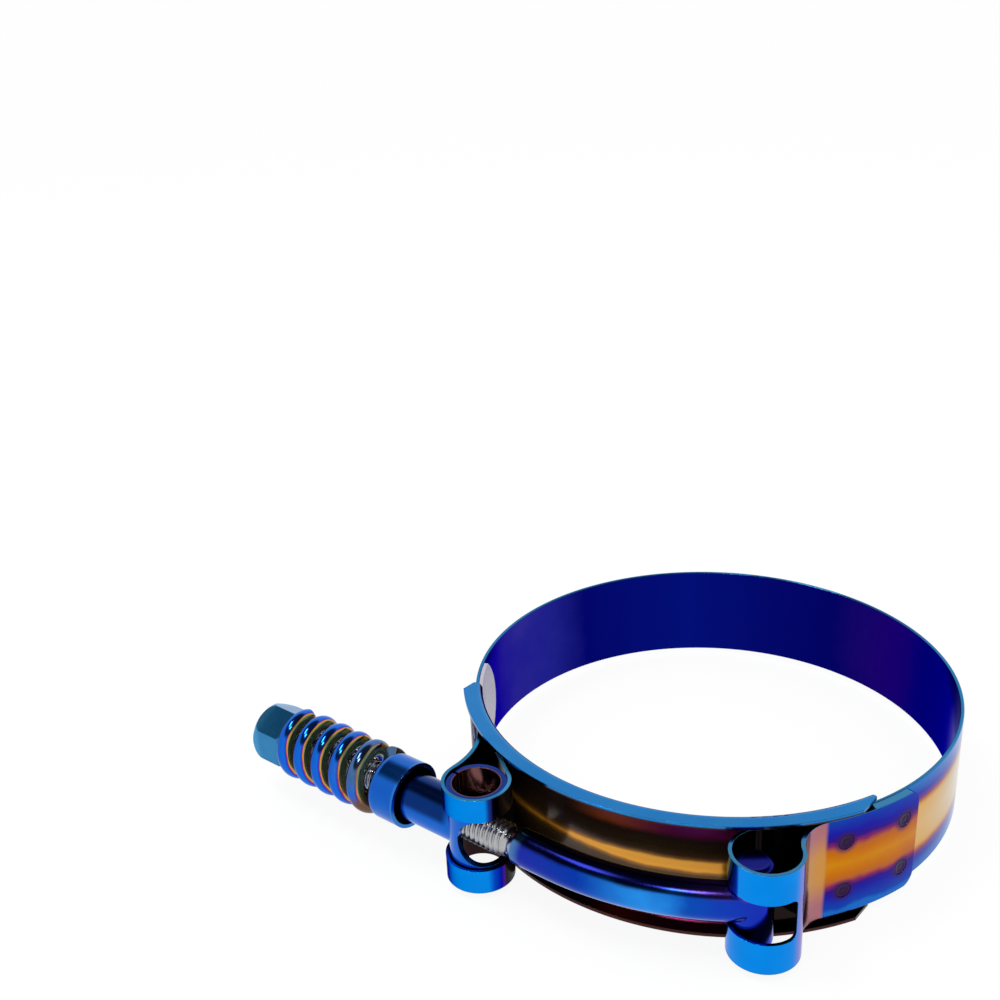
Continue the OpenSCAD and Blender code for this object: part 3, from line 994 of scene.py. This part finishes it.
class Growth(Graph):
    """A geometry-node tree with named sizes that is run once and kept as a plain mesh."""

    seam = 1e-4

    def __init__(self, title: str, sizes: Dict[str, float], material: Material) -> None:
        """Starts the tree.

        Args:
            title: name of the tree and of the mesh that it gives.
            sizes: named inputs with their values; whole numbers stay whole.
            material: finish of the result.
        """
        super().__init__(bpy.data.node_groups.new(title, "GeometryNodeTree"))
        self.title = title
        self.sizes = sizes
        self.material = material
        ports = self.tree.interface
        ports.new_socket("Geometry", in_out="OUTPUT", socket_type="NodeSocketGeometry")
        self.keys: Dict[str, str] = {}
        for name, value in sizes.items():
            kind = "NodeSocketInt" if isinstance(value, int) else "NodeSocketFloat"
            self.keys[name] = ports.new_socket(name, in_out="INPUT", socket_type=kind).identifier
        self.inputs = self.node("NodeGroupInput")

    def __getitem__(self, name: str) -> Socket:
        """A named input."""
        return self.out(self.inputs, name)

    def place(self) -> List[Socket]:
        """The three values of each point's place."""
        return self.parts(self.add("GeometryNodeInputPosition"))

    def moved(self, shape: Socket, x: Socket, y: Socket, z: Socket) -> Socket:
        """A shape with each point at a new place."""
        return self.add("GeometryNodeSetPosition", {"Geometry": shape, "Position": self.vector(x, y, z)})

    def sheet(self, rows: str, columns: str) -> Tuple[Socket, Socket, Socket]:
        """A unit grid.

        Args:
            rows: name of the input with the points along it.
            columns: name of the input with the points across it.

        Returns:
            The grid, and the shares along and across it from 0 to 1.
        """
        grid = self.add(
            "GeometryNodeMeshGrid",
            {"Size X": 1.0, "Size Y": 1.0, "Vertices X": self[rows], "Vertices Y": self[columns]},
        )
        along, across, _ = self.place()
        return grid, along + 0.5, across + 0.5

    def revolved(self, grid: Socket, radius: Socket, share: Socket, level: Socket) -> Socket:
        """Wraps a grid round +Z and closes its seam.

        Args:
            grid: the grid's mesh.
            radius: distance from the axis at each point.
            share: share of a full turn at each point.
            level: height at each point.

        Returns:
            The wrapped mesh.
        """
        turn = share * (2.0 * pi)
        wrapped = self.moved(grid, radius * turn.cosine(), radius * turn.sine(), level)
        return self.add("GeometryNodeMergeByDistance", {"Geometry": wrapped, "Distance": self.seam})

    def grown(self, result: Socket, frame_at: Matrix, capped: bool = False) -> Mesh:
        """Runs the tree.

        Args:
            result: the geometry to keep, in millimetres.
            frame_at: where it goes, in millimetres.
            capped: whether open ends are filled.

        Returns:
            A plain mesh in metres.
        """
        smooth = self.add("GeometryNodeSetShadeSmooth", {"Geometry": result})
        real = self.add("GeometryNodeRealizeInstances", {"Geometry": smooth})
        dressed = self.add("GeometryNodeSetMaterial", {"Geometry": real, "Material": self.material})
        self.node("NodeGroupOutput", {0: dressed})
        holder = place_object(self.title, bpy.data.meshes.new(self.title))
        modifier = holder.modifiers.new(self.title, "NODES")
        modifier.node_group = self.tree
        for name, value in self.sizes.items():
            modifier[self.keys[name]] = value
        bpy.context.view_layer.update()
        graph = bpy.context.evaluated_depsgraph_get()
        mesh = bpy.data.meshes.new_from_object(holder.evaluated_get(graph), depsgraph=graph)
        holder.modifiers.remove(modifier)
        bpy.data.objects.remove(holder)
        mesh.transform(Matrix.Scale(MM, 4) @ frame_at)
        form = bmesh.new()
        form.from_mesh(mesh)
        if capped:
            bmesh.ops.holes_fill(form, edges=form.edges)
        bmesh.ops.recalc_face_normals(form, faces=form.faces)
        mesh.name = self.title
        return kept(form, mesh)


@dataclass
class Band:
    """Open band from the fixed loop's foot round to the free loop's foot."""

    edge_r: float = 0.16
    edge_row: float = 0.06
    steps: int = 240
    edge_steps: int = 3

    def section(self) -> List[Tuple[float, float]]:
        """Rounded strip section as radius and height, with close rows beside each edge."""
        half_t, half_w, r = SIZES.sheet / 2, SIZES.band_w / 2, self.edge_r
        points: List[Tuple[float, float]] = []
        quarter = [90.0 * k / self.edge_steps for k in range(self.edge_steps + 1)]
        for corner, (sx, sz) in enumerate(((1, 1), (-1, 1), (-1, -1), (1, -1))):
            turns = [radians(90.0 * corner + part) for part in quarter]
            arc = [(sx * (half_t - r) + r * cos(a), sz * (half_w - r) + r * sin(a)) for a in turns]
            if corner % 2 == 0:
                arc.insert(0, (arc[0][0], arc[0][1] - sz * self.edge_row))
            else:
                arc.append((arc[-1][0], arc[-1][1] - sz * self.edge_row))
            points.extend(arc)
        return [(SIZES.band_mid + across, up) for across, up in points]

    def build(self) -> Object:
        """Makes the band and hides its solid."""
        first = SIZES.fixed.past(SIZES.fixed.foot)
        last = 360.0 + SIZES.free.past(SIZES.free.foot)
        section = self.section()
        turns = [first + (last - first) * step / self.steps for step in range(self.steps + 1)]
        rings = [[polar(r, turn, up) for r, up in section] for turn in turns]
        made = place_object("band_strip", loft("band_strip", rings), BandTint().build())
        made.data.materials.append(BoreTint().build())
        for face in made.data.polygons:
            face.material_index = int(hypot(face.center.x, face.center.y) < SIZES.band_mid * MM)
        ends = [polar(SIZES.band_in, turn) for turn in (first, last)]
        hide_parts("band")
        ends[0]
        ends[1]
        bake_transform(made)
        LOG.info("band_strip: %d faces", len(made.data.polygons))
        return made


@dataclass
class Sheets:
    """Bridge plate with its tongue, and the two loop straps with their spot welds."""

    weld_d: float = 2.7
    weld_rim: float = 0.07
    weld_lift: float = 0.004
    tongue_root: float = 183.0
    tongue_tip: float = 161.7
    tongue_half: float = 8.9
    tongue_end_r: float = 11.2
    tongue_proud: float = 0.03
    tongue_clear: float = 0.03
    tongue_rows: int = 24
    tongue_columns: int = 40

    def dress(self) -> None:
        """Gives the three solids their tints."""
        dress_node("bridge_plate", BridgeTint())
        for place in Place:
            dress_node(f"{place.value}_loop", LoopTint(place))

    def tongue(self) -> Object:
        """Round-ended tongue of the bridge plate that lies inside the band's free end."""
        inner, outer = SIZES.seat_r - self.tongue_proud, SIZES.band_in - self.tongue_clear
        root, rows = self.tongue_root, self.tongue_rows
        rings = []
        for column in range(self.tongue_columns + 1):
            up = self.tongue_half * (2.0 * column / self.tongue_columns - 1.0)
            back = self.tongue_end_r - sqrt(self.tongue_end_r**2 - up**2)
            tip = self.tongue_tip + degrees(back / SIZES.seat_r)
            turns = [root + (tip - root) * k / rows for k in range(rows + 1)]
            path = [(inner, a) for a in turns] + [(outer, a) for a in reversed(turns)]
            rings.append([polar(r, a, up) for r, a in path])
        made = place_object("bridge_tongue", loft("bridge_tongue", rings), TongueTint().build())
        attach(made, "root")
        LOG.info("bridge_tongue: %d faces", len(made.data.polygons))
        return made

    def welds(self, place: Place, material: Material) -> Object:
        """Four shallow weld craters on one tail.

        Args:
            place: which loop's tail.
            material: the weld's finish.

        Returns:
            The new piece.
        """
        near, far = SIZES.weld_rows(place)
        growth = Growth(
            f"{place.value}_weld_marks",
            {
                "Rows": 12,
                "Columns": 28,
                "Count": 4,
                "Radius": self.weld_d / 2,
                "Rim": self.weld_rim,
                "Near": radians(near),
                "Step": radians(far - near),
                "Ring": SIZES.strap_out - SIZES.weld_depth + self.weld_lift,
                "Offset": SIZES.weld_offset,
            },
            material,
        )
        grid, out, turn = growth.sheet("Rows", "Columns")
        rim = out.rise(0.45, 0.80) * out.rise(1.0, 0.86)
        dome = out.rise(0.5, 0.0) * 0.45
        crater = growth.revolved(grid, out * growth["Radius"], turn, (rim + dome) * growth["Rim"])
        index = growth.add("GeometryNodeInputIndex")
        pair = (index * 0.5).floor()
        side = (index - pair * 2.0) * 2.0 - 1.0
        angle = growth["Near"] + growth["Step"] * pair
        across, forward = angle.cosine(), angle.sine()
        spot = growth.vector(across * growth["Ring"], forward * growth["Ring"], side * growth["Offset"])
        points = growth.add("GeometryNodePoints", {"Count": growth["Count"], "Position": spot})
        facing = growth.add(
            "FunctionNodeAxesToRotation",
            {"Primary Axis": growth.vector(across, forward, 0.0), "Secondary Axis": (0.0, 0.0, 1.0)},
            primary_axis="Z",
            secondary_axis="X",
        )
        spread = growth.add(
            "GeometryNodeInstanceOnPoints", {"Points": points, "Instance": crater, "Rotation": facing}
        )
        mesh = growth.grown(spread, Matrix.Identity(4))
        made = place_object(growth.title, mesh)
        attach(made, "root" if place is Place.FIXED else "free_end")
        LOG.info("%s: %d faces", growth.title, len(mesh.polygons))
        return made


@dataclass
class TBolt:
    """Cross bar, curved shank and cut thread, one piece."""

    shank_d: float = 6.1
    thread_d: float = 5.8
    pitch: float = 1.0
    depth: float = 0.52
    lead: float = 1.2
    thread_start: float = 7.5
    end_station: float = 49.75
    bar_l: float = 15.0
    bar_edge: float = 1.0
    round_steps: int = 48
    bend_steps: int = 60

    def ring(self, frame_at: Matrix, radius: float) -> List[Vector]:
        """Points of a circle across a frame's +Z."""
        turns = [2.0 * pi * k / self.round_steps for k in range(self.round_steps)]
        return [(frame_at @ Vector((radius * cos(a), radius * sin(a), 0.0))) * MM for a in turns]

    def shank(self) -> Mesh:
        """Shank from the cross bar round the bend to the cone before the thread."""
        rings = []
        for step in range(self.bend_steps + 1):
            angle = SIZES.head_angle + (SIZES.bend_angle - SIZES.head_angle) * step / self.bend_steps
            rings.append(self.ring(SIZES.on_bend(angle), self.shank_d / 2))
        plain = SIZES.straight_l - self.thread_start - self.lead
        slim = self.thread_d / 2 - self.depth
        for run, radius in (
            (plain * 0.5, self.shank_d / 2),
            (plain - 0.15, self.shank_d / 2),
            (plain, self.shank_d / 2 - 0.03),
            (plain + self.lead, slim + 0.05),
            (plain + self.lead + 0.3, slim - 0.1),
        ):
            rings.append(self.ring(SIZES.on_bolt(run - SIZES.straight_l), radius))
        return loft("shank", rings)

    def bar(self) -> Mesh:
        """Cross bar with rounded ends."""
        half, radius, edge = self.bar_l / 2, SIZES.head_d / 2, self.bar_edge
        profile = [(-half, radius - edge - 0.6), (-half + 0.02, radius - edge - 0.1)]
        for turn in (radians(15.0 * k) for k in range(7)):
            profile.append((-half + edge - edge * cos(turn), radius - edge + edge * sin(turn)))
        profile.append((-half + edge + 0.1, radius))
        profile += [(-level, r) for level, r in reversed(profile)]
        x, y = -SIZES.head_shift, -SIZES.fixed.rho
        return loft("bar", [self.ring(Matrix.Translation((x, y, level)), r) for level, r in profile])

    def thread(self, material: Material) -> Mesh:
        """Cut thread from the cone to the end of the bolt."""
        length = self.end_station + self.thread_start
        growth = Growth(
            "bolt_thread",
            {
                "Rows": int(length / self.pitch * 10),
                "Columns": 41,
                "Length": length,
                "Crest": self.thread_d / 2,
                "Depth": self.depth,
                "Pitch": self.pitch,
                "Lead": self.lead,
            },
            material,
        )
        grid, share, turn = growth.sheet("Rows", "Columns")
        level = share * growth["Length"]
        phase = (level / growth["Pitch"] - turn).fraction()
        flank = ((abs(phase * 2.0 - 1.0) - 0.12) * 1.35).most(0.0).least(1.0)
        runout = level.rise(0.2, 1.6)
        radius = growth["Crest"] - growth["Depth"] * (1.0 - flank * runout)
        tip = growth["Crest"] - growth["Lead"] + (growth["Length"] - level)
        wound = growth.revolved(grid, radius.least(tip), turn, level)
        return growth.grown(wound, SIZES.on_bolt(-self.thread_start), capped=True)

    def build(self) -> Object:
        """Makes the bolt and hides its solid."""
        material = BoltTint().build()
        mesh = joined("t_bolt_steel", [self.shank(), self.bar(), self.thread(material)])
        made = place_object("t_bolt_steel", mesh, material)
        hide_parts("t_bolt")
        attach(made, "t_bolt")
        LOG.info("t_bolt_steel: %d faces", len(mesh.polygons))
        return made


@dataclass
class SpringStack:
    """Trunnion, spring cup and the spring that presses on it."""

    outside_d: float = 12.6
    wire_d: float = 3.1
    length: float = 22.2
    coils: float = 5.0
    close_turns: float = 0.5
    station: float = 20.8
    squeezed: float = 0.770
    phase: float = 119.0
    ground_share: float = 0.3
    close_share: float = 1.04

    def dress(self) -> None:
        """Gives the two solids their tints."""
        dress_node("trunnion", TrunnionTint())
        dress_node("spring_cup", CupTint())

    def build(self) -> Object:
        """Winds the spring and hides its solid."""
        ground = self.wire_d * self.ground_share
        close_pitch = self.wire_d * self.close_share
        open_turns = self.coils - 2 * self.close_turns
        open_l = self.length - self.wire_d + 2 * ground - 2 * self.close_turns * close_pitch
        growth = Growth(
            "spring_coil",
            {
                "Points": 361,
                "Sides": 24,
                "Coils": self.coils,
                "Mean Radius": (self.outside_d - self.wire_d) / 2,
                "Wire Radius": self.wire_d / 2,
                "Close Turns": self.close_turns,
                "Open Turns": open_turns,
                "Close Pitch": close_pitch,
                "Open Pitch": open_l / open_turns,
                "Start": self.wire_d / 2 - ground,
                "Length": self.length,
                "Phase": radians(self.phase),
            },
            SpringTint().build(),
        )
        line = growth.add("GeometryNodeCurvePrimitiveLine", {"End": (0.0, 0.0, 1.0)})
        path = growth.add("GeometryNodeResampleCurve", {"Curve": line, "Count": growth["Points"]})
        turns = growth.add("GeometryNodeSplineParameter", key="Factor") * growth["Coils"]
        first = turns.least(growth["Close Turns"])
        middle = (turns - growth["Close Turns"]).most(0.0).least(growth["Open Turns"])
        last = (turns - growth["Close Turns"] - growth["Open Turns"]).most(0.0)
        level = growth["Start"] + (first + last) * growth["Close Pitch"] + middle * growth["Open Pitch"]
        angle = turns * (2.0 * pi) + growth["Phase"]
        mean = growth["Mean Radius"]
        helix = growth.moved(path, mean * angle.cosine(), mean * angle.sine(), level)
        wire = growth.add(
            "GeometryNodeCurvePrimitiveCircle",
            {"Resolution": growth["Sides"], "Radius": growth["Wire Radius"]},
        )
        swept = growth.add(
            "GeometryNodeCurveToMesh", {"Curve": helix, "Profile Curve": wire, "Fill Caps": True}
        )
        x, y, z = growth.place()
        ends = growth.moved(swept, x, y, z.most(0.0).least(growth["Length"]))
        mesh = growth.grown(ends, SIZES.on_bolt(self.station))
        wx, wy = SIZES.along
        lean = mesh.attributes.new(WIRE_LEAN, "FLOAT", "POINT")
        lean.data.foreach_set("value", [v.normal.x * wx + v.normal.y * wy for v in mesh.vertices])
        made = place_object("spring_coil", mesh)
        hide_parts("spring")
        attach(made, "spring")
        anchor = SIZES.on_bolt(self.station + self.length) @ Vector((0.0, 0.0, 0.0))
        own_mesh(made)
        LOG.info("spring_coil: %d faces", len(mesh.polygons))
        return made


@dataclass
class LockNut:
    """Lock nut and the insert in its domed end."""

    def dress(self) -> None:
        """Gives the two solids their finishes."""
        dress_node("lock_nut", NutTint())
        dress_node("nut_insert", InsertNylon())


@dataclass(frozen=True)
class Lamp:
    """A soft lamp: place and size in metres, power in watts."""

    title: str
    at: Triple
    size: Tuple[float, float]
    power: float

    def build(self) -> None:
        """Hangs the lamp so that it points at the clamp."""
        data = bpy.data.lights.new(self.title, "AREA")
        data.shape = "RECTANGLE"
        data.size, data.size_y = self.size
        data.energy = self.power
        lamp = bpy.data.objects.new(self.title, data)
        aim = (Vector((0.0, 0.0, 0.0)) - Vector(self.at)).to_track_quat("-Z", "Y")
        lamp.matrix_world = Matrix.Translation(self.at) @ aim.to_matrix().to_4x4()
        bpy.context.scene.collection.objects.link(lamp)


@dataclass
class Studio:
    """Pale floor, soft light and the camera."""

    floor_z: float = -10.5
    floor_drop: float = 0.02
    floor_half: float = 6.0
    floor_tint: Colour = (0.9, 0.9, 0.9)
    floor_shadow: float = 0.09
    camera_at: Triple = (-36.0636, -206.3713, 134.4837)
    tilt: float = 0.404880718
    roll: float = -0.0463641821
    yaw: float = 0.00558505361
    lens: float = 47.333
    sensor: float = 36.0
    clip: Tuple[float, float] = (0.01, 50.0)
    sky: Stops = (
        (0.00, WHITE),
        (0.61, WHITE),
        (0.74, (0.08, 0.08, 0.09)),
        (1.00, (0.03, 0.03, 0.035)),
    )
    lamps: Tuple[Lamp, ...] = (
        Lamp("key_lamp", (-0.25, 0.05, 0.60), (0.20, 0.10), 0.9),
        Lamp("front_lamp", (-0.10, -0.19, 0.58), (0.12, 0.08), 0.6),
    )

    def floor(self) -> None:
        """Floor that shows white and keeps a faint shadow."""
        side, level = self.floor_half, (self.floor_z - self.floor_drop) * MM
        corners = [(-side, -side, level), (side, -side, level), (side, side, level), (-side, side, level)]
        mesh = bpy.data.meshes.new("floor")
        mesh.from_pydata(corners, [], [(0, 1, 2, 3)])
        material = bpy.data.materials.new("pale_floor")
        graph = Graph(blank(material))
        glow = graph.add("ShaderNodeEmission", {"Color": (*WHITE, 1.0), "Strength": 1.0})
        matt = graph.add("ShaderNodeBsdfDiffuse", {"Color": (*self.floor_tint, 1.0)})
        both = graph.add("ShaderNodeMixShader", {0: self.floor_shadow, 1: glow, 2: matt})
        graph.node("ShaderNodeOutputMaterial", {"Surface": both})
        place_object("floor", mesh, material)

    def world(self) -> None:
        """White round the horizon, dark overhead in reflections, soft for matt surfaces."""
        world = bpy.data.worlds.new("studio")
        graph = Graph(blank(world))
        bpy.context.scene.world = world
        _, _, up = graph.parts(graph.add("ShaderNodeTexCoord", key="Generated"))
        sky = graph.colours(up.most(0.0), self.sky)
        light = graph.node("ShaderNodeLightPath")
        glossy = graph.out(light, "Is Glossy Ray").most(graph.out(light, "Is Transmission Ray"))
        shown = graph.mix(graph.out(light, "Is Camera Ray"), graph.mix(glossy, WHITE, sky), WHITE)
        back = graph.add("ShaderNodeBackground", {"Color": shown, "Strength": 1.0})
        graph.node("ShaderNodeOutputWorld", {"Surface": back})

    def camera(self) -> None:
        """Camera at the photograph's viewing angle."""
        data = bpy.data.cameras.new("camera")
        data.lens, data.sensor_width = self.lens, self.sensor
        data.clip_start, data.clip_end = self.clip
        camera = bpy.data.objects.new("camera", data)
        right = Vector((1.0, 0.0, 0.0))
        ahead = Vector((0.0, cos(self.tilt), -sin(self.tilt)))
        up = right.cross(ahead)
        level = cos(self.roll) * right + sin(self.roll) * up
        top = cos(self.roll) * up - sin(self.roll) * right
        turn = Matrix.Rotation(self.yaw, 3, "Z")
        axes = Matrix((turn @ level, turn @ top, -(turn @ ahead))).transposed()
        camera.matrix_world = Matrix.Translation(Vector(self.camera_at) * MM) @ axes.to_4x4()
        bpy.context.scene.collection.objects.link(camera)
        bpy.context.scene.camera = camera

    def build(self) -> None:
        """Sets up the whole studio."""
        bpy.context.scene.view_settings.view_transform = "Standard"
        self.floor()
        self.world()
        for lamp in self.lamps:
            lamp.build()
        self.camera()


def main() -> None:
    """Builds the studio and every piece."""
    logging.basicConfig(level=logging.INFO, format="%(name)s: %(message)s")
    Studio().build()
    Band().build()
    sheets = Sheets()
    sheets.dress()
    sheets.tongue()
    weld = WeldTint().build()
    for place in Place:
        sheets.welds(place, weld)
    TBolt().build()
    stack = SpringStack()
    stack.dress()
    stack.build()
    LockNut().dress()


if __name__ == "__main__":
    main()
